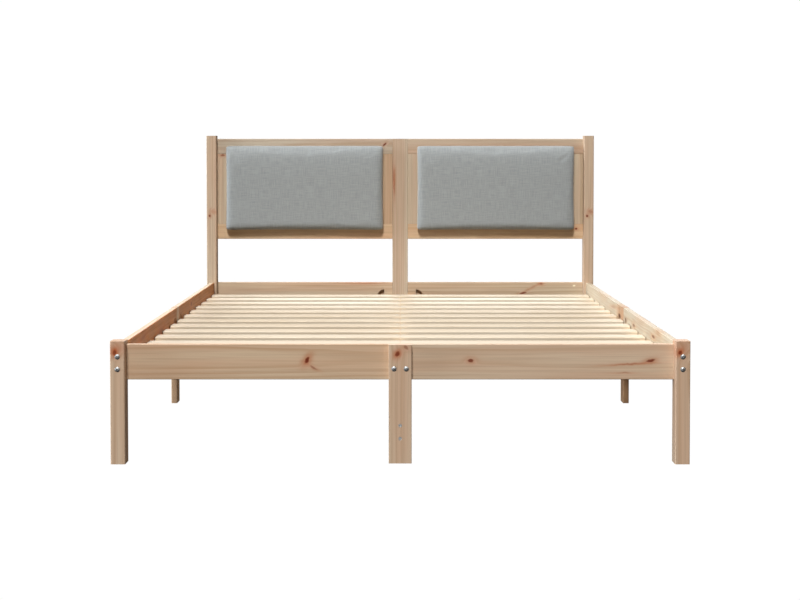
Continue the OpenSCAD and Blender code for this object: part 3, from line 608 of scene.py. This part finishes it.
def makeBeech():
    material, tree = newMaterial("turned beech")
    place = addNode(tree, "ShaderNodeTexCoord", out="Object")
    fleck = addNode(tree, "ShaderNodeTexVoronoi",
                    {"Vector": place, "Scale": 1 / (beech["fleckWidth"] * mm)})
    start, end = beech["fleckSpan"]
    amount = addNode(tree, "ShaderNodeMapRange",
                     {0: fleck, 1: start, 2: end, 3: beech["fleckMost"], 4: 0.0})
    colour = addNode(tree, "ShaderNodeMix",
                     {0: amount, 6: linear(beech["wood"]), 7: linear(beech["fleck"])},
                     out=2, data_type="RGBA")
    closeMaterial(tree, {"Base Color": colour, "Roughness": beech["roughness"]}, fleck,
                  beech["depth"] * mm, beech["bump"])
    return material


# Cushions: a grey cloth cover drawn over foam and a board. The crown falls away to the edges, the
# sides and the bottom are drawn in between the corners, and the cover turns in behind the edge.

cushion = {
    "columns": 118,
    "rows": 66,
    "samples": 2001,  # along a line, to measure the cloth
    "edge": 10.5,  # mm from the back of the foam to the rim of the crown
    "topDrop": 5.5,  # mm that the rim falls back along the top
    "topDropPower": 6,
    "crown": 33.5,  # mm before it is blown up
    "swell": 0.1,  # share of the crown that the middle has and the borders don't
    "cornerPull": 3,  # mm
    "cornerPower": 30,
    "sideDraw": 1.2,  # mm
    "bottomDraw": 1.0,  # mm
    "sidePower": 50,  # the higher, the squarer
    "topPower": 3.6,
    "bottomPower": 22,
    "inset": 0.2,  # mm left for the cloth to swell
    "frameGap": 1.4,  # mm left between the cover and the wood
    "boardGap": 0.4,  # mm
    "bulge": ((0.4, 0.4), (0.6, 0.75)),  # mm that the side stands out, at a share of the way back
    "roll": (1.2, 1.5),  # mm forward and in, where the cover rounds the back edge
    "turnIn": 8.5,  # mm that the cover turns in behind the rim, short of the board's edge
    "halfTurn": 0.6,  # share of it for the ring between
    "hem": (0.8, 0.4, 2),  # mm forward at the turn's end, then in at the board and in at the foam
    "heldFrom": 3,  # the cover is held from this ring behind the rim
    "frames": 20,  # that the cloth is stepped through
    "cap": 2.2,  # mm that a point may move
}
cloth = {  # as the cover is blown up
    "quality": 6,
    "mass": 0.25,
    "tension_stiffness": 40,
    "compression_stiffness": 40,
    "shear_stiffness": 15,
    "bending_stiffness": 4,
    "shrink_min": -0.002,  # a little more cloth than foam, so that it can ripple
    "use_pressure": True,
    "uniform_pressure_force": 0.7,
    "vertex_group_mass": "held",
}


# The front of the cushion over u and v from -1 to 1: height = edge + (crown - edge) * c(u, v), with
# c = sqrt((1 - |u|^side)(1 - |v|^power)) * (1 - swell + swell (1 - u^2)(1 - v^2)). Towards the top
# the power is lower and the edge is less by topDrop * v^topDropPower, so that the cover slopes
# further in from there. x is pulled in by sideDraw * (1 - v^2) and the bottom by
# bottomDraw * (1 - u^2), and near the corners both are by cornerPull * |u v|^cornerPower.
def crownPoints(u, v, low, high):
    middle, half = (low + high) / 2, (high - low) / 2 - cushion["inset"] * mm
    corner = cushion["cornerPull"] * mm * np.abs(u * v) ** cushion["cornerPower"]
    x = middle[0] + u * (half[0] - cushion["sideDraw"] * mm * (1 - v ** 2) - corner)
    z = middle[2] + v * (half[2] - corner)
    z += np.clip(-v, 0, 1) * cushion["bottomDraw"] * mm * (1 - u ** 2)
    power = np.where(v < 0, cushion["bottomPower"], cushion["topPower"])
    square = (1 - np.abs(u) ** cushion["sidePower"]) * (1 - np.abs(v) ** power)
    crown = np.sqrt(np.clip(square, 0, 1))
    crown *= 1 - cushion["swell"] + cushion["swell"] * (1 - u ** 2) * (1 - v ** 2)
    drop = cushion["topDrop"] * np.clip(v, 0, 1) ** cushion["topDropPower"]
    edge = (cushion["edge"] - drop) * mm
    y = high[1] - edge - (cushion["crown"] * mm - edge) * crown
    return np.stack([x, y, z], -1)


# A grid over the front, with even steps along the cloth and not across the view. Threads are
# measured along the cloth in metres.
def crownGrid(low, high):
    columns, rows = cushion["columns"], cushion["rows"]
    fine = np.sin(np.linspace(-math.pi / 2, math.pi / 2, cushion["samples"]))
    lines = [crownPoints(0 * fine, fine, low, high), crownPoints(fine, 0 * fine, low, high)]
    steps = []
    for line, count in zip(lines, (rows, columns)):
        length = np.concatenate([[0], np.cumsum(np.linalg.norm(np.diff(line, axis=0), axis=1))])
        steps.append(np.interp(np.linspace(0, length[-1], count + 1), length, fine))
    v, u = np.meshgrid(*steps, indexing="ij")
    front = crownPoints(u, v, low, high)
    along = np.cumsum(np.linalg.norm(np.diff(front, axis=1, prepend=front[:, :1]), axis=-1), axis=1)
    up = np.cumsum(np.linalg.norm(np.diff(front, axis=0, prepend=front[:1]), axis=-1), axis=0)
    along -= along[:, columns // 2][:, None]
    up -= up[rows // 2][None, :]
    return u, v, front, np.stack([along, up, np.zeros_like(up)], -1)


# The cover's mesh: the crown's grid, then rings that follow its border back to the wood, in behind
# the rim and forward to the foam, where upright strips close the back.
def cushionMesh(name, low, high, woodY):
    columns, rows = cushion["columns"], cushion["rows"]
    u, v, front, threads = crownGrid(low, high)
    points, threads = front.reshape(-1, 3), threads.reshape(-1, 3)
    index = np.arange(len(points)).reshape(rows + 1, columns + 1)
    border = np.concatenate([index[0, :-1], index[:-1, -1], index[-1, :0:-1], index[:0:-1, 0]])
    around = len(border)

    rim, rimThreads = points[border], threads[border]
    outward = np.stack([u.ravel()[border], np.zeros(around), v.ravel()[border]], -1)
    outward = np.where(np.abs(outward) > 0.999, np.sign(outward), 0)  # slanting at the corners
    outward /= np.linalg.norm(outward, axis=1)[:, None]
    backY = woodY - cushion["frameGap"] * mm
    foamY = high[1]
    turn = cushion["turnIn"] * mm
    rollForward, rollIn = [r * mm for r in cushion["roll"]]
    hemForward, boardIn, foamIn = [h * mm for h in cushion["hem"]]
    rings = [(out * mm, rim[:, 1] * (1 - share) + backY * share) for out, share in cushion["bulge"]]
    rings += [  # how far out, and how far back
        (0.0, backY - rollForward), (-rollIn, backY), (-turn * cushion["halfTurn"], backY),
        (-turn, backY - hemForward), (-turn - boardIn, foamY + cushion["boardGap"] * mm),
        (-turn - foamIn, foamY),
    ]
    length = 0.0
    allPoints, allThreads, last = [points], [threads], rim
    for out, back in rings:
        ring = rim + outward * out
        ring[:, 1] = back
        length = length + np.linalg.norm(ring - last, axis=1)
        last = ring
        allPoints.append(ring)
        allThreads.append(rimThreads + outward[:, [0, 2, 1]] * length[:, None])

    corners = [index[:-1, :-1], index[:-1, 1:], index[1:, 1:], index[1:, :-1]]
    faces = np.stack([corner.ravel() for corner in corners], -1).tolist()
    ringIndex = [border]
    ringIndex += [len(points) + number * around + np.arange(around) for number in range(len(rings))]
    for near, far in zip(ringIndex[:-1], ringIndex[1:]):
        faces += np.stack([near, far, np.roll(far, -1), np.roll(near, -1)], -1).tolist()
    bottomRow = np.arange(columns + 1)
    topRow = 2 * columns + rows - bottomRow
    strips = np.stack([bottomRow[:-1], topRow[:-1], topRow[1:], bottomRow[1:]], -1).tolist()
    strips[0][1:1] = list(range(around - 1, 2 * columns + rows, -1))  # with the points of the left side
    strips[-1][3:3] = list(range(columns + rows - 1, columns, -1))  # and of the right side
    faces += [ringIndex[-1][strip].tolist() for strip in strips]
    mesh = bpy.data.meshes.new(name)
    mesh.from_pydata(np.concatenate(allPoints).tolist(), [], faces)
    place = mesh.attributes.new("threads", "FLOAT_VECTOR", "POINT")
    place.data.foreach_set("vector", np.concatenate(allThreads).astype(np.float32).ravel())
    mesh.update()
    return mesh, ringIndex


# Blows the cover up as cloth held at its turned-in edge, and caps how far each point has moved:
# moved = moved * min(1, cap / length of moved).
def blowUp(piece, held):
    data = piece.data
    start = np.zeros(len(data.vertices) * 3)
    data.vertices.foreach_get("co", start)
    start = start.reshape(-1, 3)
    group = piece.vertex_groups.new(name="held")
    group.add(held, 1.0, "REPLACE")
    cover = piece.modifiers.new("cloth", "CLOTH")
    for key, value in cloth.items():
        setattr(cover.settings, key, value)
    cover.settings.effector_weights.gravity = 0
    cover.collision_settings.use_collision = False
    cover.point_cache.frame_start = 1
    cover.point_cache.frame_end = cushion["frames"]
    for step in range(1, cushion["frames"] + 1):
        scene.frame_set(step)
    shaped = piece.evaluated_get(bpy.context.evaluated_depsgraph_get())
    moved = np.zeros(len(start) * 3)
    shaped.data.vertices.foreach_get("co", moved)
    moved = moved.reshape(-1, 3) - start
    length = np.linalg.norm(moved, axis=1)
    print("cloth moved by", np.percentile(length / mm, (50, 90, 100)).round(1), "mm")
    moved *= np.minimum(1, cushion["cap"] * mm / np.maximum(length, 1e-9))[:, None]
    piece.modifiers.remove(cover)
    piece.vertex_groups.clear()
    data.vertices.foreach_set("co", (start + moved).ravel())
    data.update()
    scene.frame_set(1)


# Woven polyester with the look of linen: grey threads over and under each other, some thicker and paler than
# the rest, so that the cloth looks faintly crosshatched, with a soft sheen.
# The crests of the threads are painted paler and the gaps between them darker, as painted shade.

weave = {
    "pale": "a1a7a9",
    "dark": "8f9597",
    "thread": 0.9,  # mm between threads, drawn a little coarse so that they show
    "slub": 42,  # mm that a thick stretch of thread is long
    "slubWidth": 2.2,  # mm
    "slubSpan": (0.35, 0.7),
    "slubStart": (3.0, 8.0),  # where the noise of warp and weft starts
    "mottleSpan": (0.4, 2.2),
    "paintedThreadShade": 0.3,  # how much painted shade a thread's roundness adds: crests paler, gaps between threads darker
    "shadeSpan": (0.1, 1.1),
    "roughness": 0.85,
    "sheen": 0.45,
    "sheenRoughness": 0.4,
    "specular": 0.25,
    "depth": 0.22,  # mm of bump
    "bump": 0.7,
}


def makeWeave():
    material, tree = newMaterial("woven grey polyester")
    place = addNode(tree, "ShaderNodeAttribute", out="Vector", attribute_name="threads")
    turns = addNode(tree, "ShaderNodeVectorMath",
                    {0: place, 1: (math.pi / (weave["thread"] * mm),) * 3}, operation="MULTIPLY")
    wave = addNode(tree, "ShaderNodeVectorMath", {0: turns}, operation="SINE")
    across, up = addNode(tree, "ShaderNodeSeparateXYZ", {0: wave}, out=everyOut)[:2]
    warp = addNode(tree, "ShaderNodeMath", {0: across}, operation="ABSOLUTE")
    weft = addNode(tree, "ShaderNodeMath", {0: up}, operation="ABSOLUTE")
    over = addNode(tree, "ShaderNodeMath", {0: across, 1: up}, operation="MULTIPLY")
    over = addNode(tree, "ShaderNodeMath", {0: over, 1: 0.0}, operation="GREATER_THAN")
    height = addNode(tree, "ShaderNodeMix", {0: over, 2: weft, 3: warp}, out=0)
    slubs = []
    start, end = weave["slubSpan"]
    sizes = ((weave["slub"], weave["slubWidth"], 1), (weave["slubWidth"], weave["slub"], 1))
    for size, offset in zip(sizes, weave["slubStart"]):
        scale = [1 / (s * mm) for s in size]
        spot = addNode(tree, "ShaderNodeVectorMath", {0: place, 1: scale, 2: (offset,) * 3},
                       operation="MULTIPLY_ADD")
        thick = addNode(tree, "ShaderNodeTexNoise", {"Vector": spot, "Scale": 1.0, "Detail": 3})
        slubs.append(addNode(tree, "ShaderNodeMapRange", {0: thick, 1: start, 2: end, 3: 0.0, 4: 1.0}))
    slub = addNode(tree, "ShaderNodeMix", {0: over, 2: slubs[0], 3: slubs[1]}, out=0)
    mottle = addNode(tree, "ShaderNodeMath", {0: slubs[0], 1: slubs[1]}, operation="ADD")
    mottle = addNode(tree, "ShaderNodeMath", {0: mottle, 1: slub}, operation="ADD")
    start, end = weave["mottleSpan"]
    amount = addNode(tree, "ShaderNodeMapRange", {0: mottle, 1: start, 2: end, 3: 0.0, 4: 1.0})
    # painted shade: the crests of the threads paler, the gaps between them darker
    amount = addNode(tree, "ShaderNodeMath", {0: height, 1: weave["paintedThreadShade"], 2: amount},
                     operation="MULTIPLY_ADD")
    start, end = weave["shadeSpan"]
    shade = addNode(tree, "ShaderNodeMapRange", {0: amount, 1: start, 2: end, 3: 0.0, 4: 1.0})
    colour = addNode(tree, "ShaderNodeMix",
                     {0: shade, 6: linear(weave["dark"]), 7: linear(weave["pale"])},
                     out=2, data_type="RGBA")
    closeMaterial(tree, {
        "Base Color": colour,
        "Roughness": weave["roughness"],
        "Sheen Weight": weave["sheen"],
        "Sheen Roughness": weave["sheenRoughness"],
        "Specular IOR Level": weave["specular"]}, amount, weave["depth"] * mm, weave["bump"])
    return material


def makeCushions():
    cover = makeWeave()
    for side in ("left", "right"):
        node = "cushion_" + side
        low, high = [np.array(c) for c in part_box(node)]
        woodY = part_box("cushion_board_" + side)[1][1]
        mesh, rings = cushionMesh("padded_cushion_" + side, low, high, woodY)
        piece = bpy.data.objects.new("padded_cushion_" + side, mesh)
        scene.collection.objects.link(piece)
        blowUp(piece, np.concatenate(rings[cushion["heldFrom"]:]).tolist())
        mesh.materials.append(cover)
        mesh.polygons.foreach_set("use_smooth", [True] * len(mesh.polygons))
        smooth = piece.modifiers.new("smooth", "SUBSURF")
        smooth.levels = smooth.render_levels = 1
        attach(piece, "root")
        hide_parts(node)


makeCushions()
print("cushions are padded")


def dressRest():
    ply = makePlywood()
    steel = makeZinc("zinc-plated steel", zinc)
    for side in ("left", "right"):
        dress("cushion_board_" + side, ply)
    for node in ("frame_bolts", "bolt_nuts", "stud_rods", "half_moon_washers", "stud_nuts"):
        dress(node, steel)
    dress("wood_screws", makeZinc("zinc-plated screw steel", screwZinc))
    dress("wood_dowels", makeBeech())


dressRest()
print("plywood, steel and beech are finished")
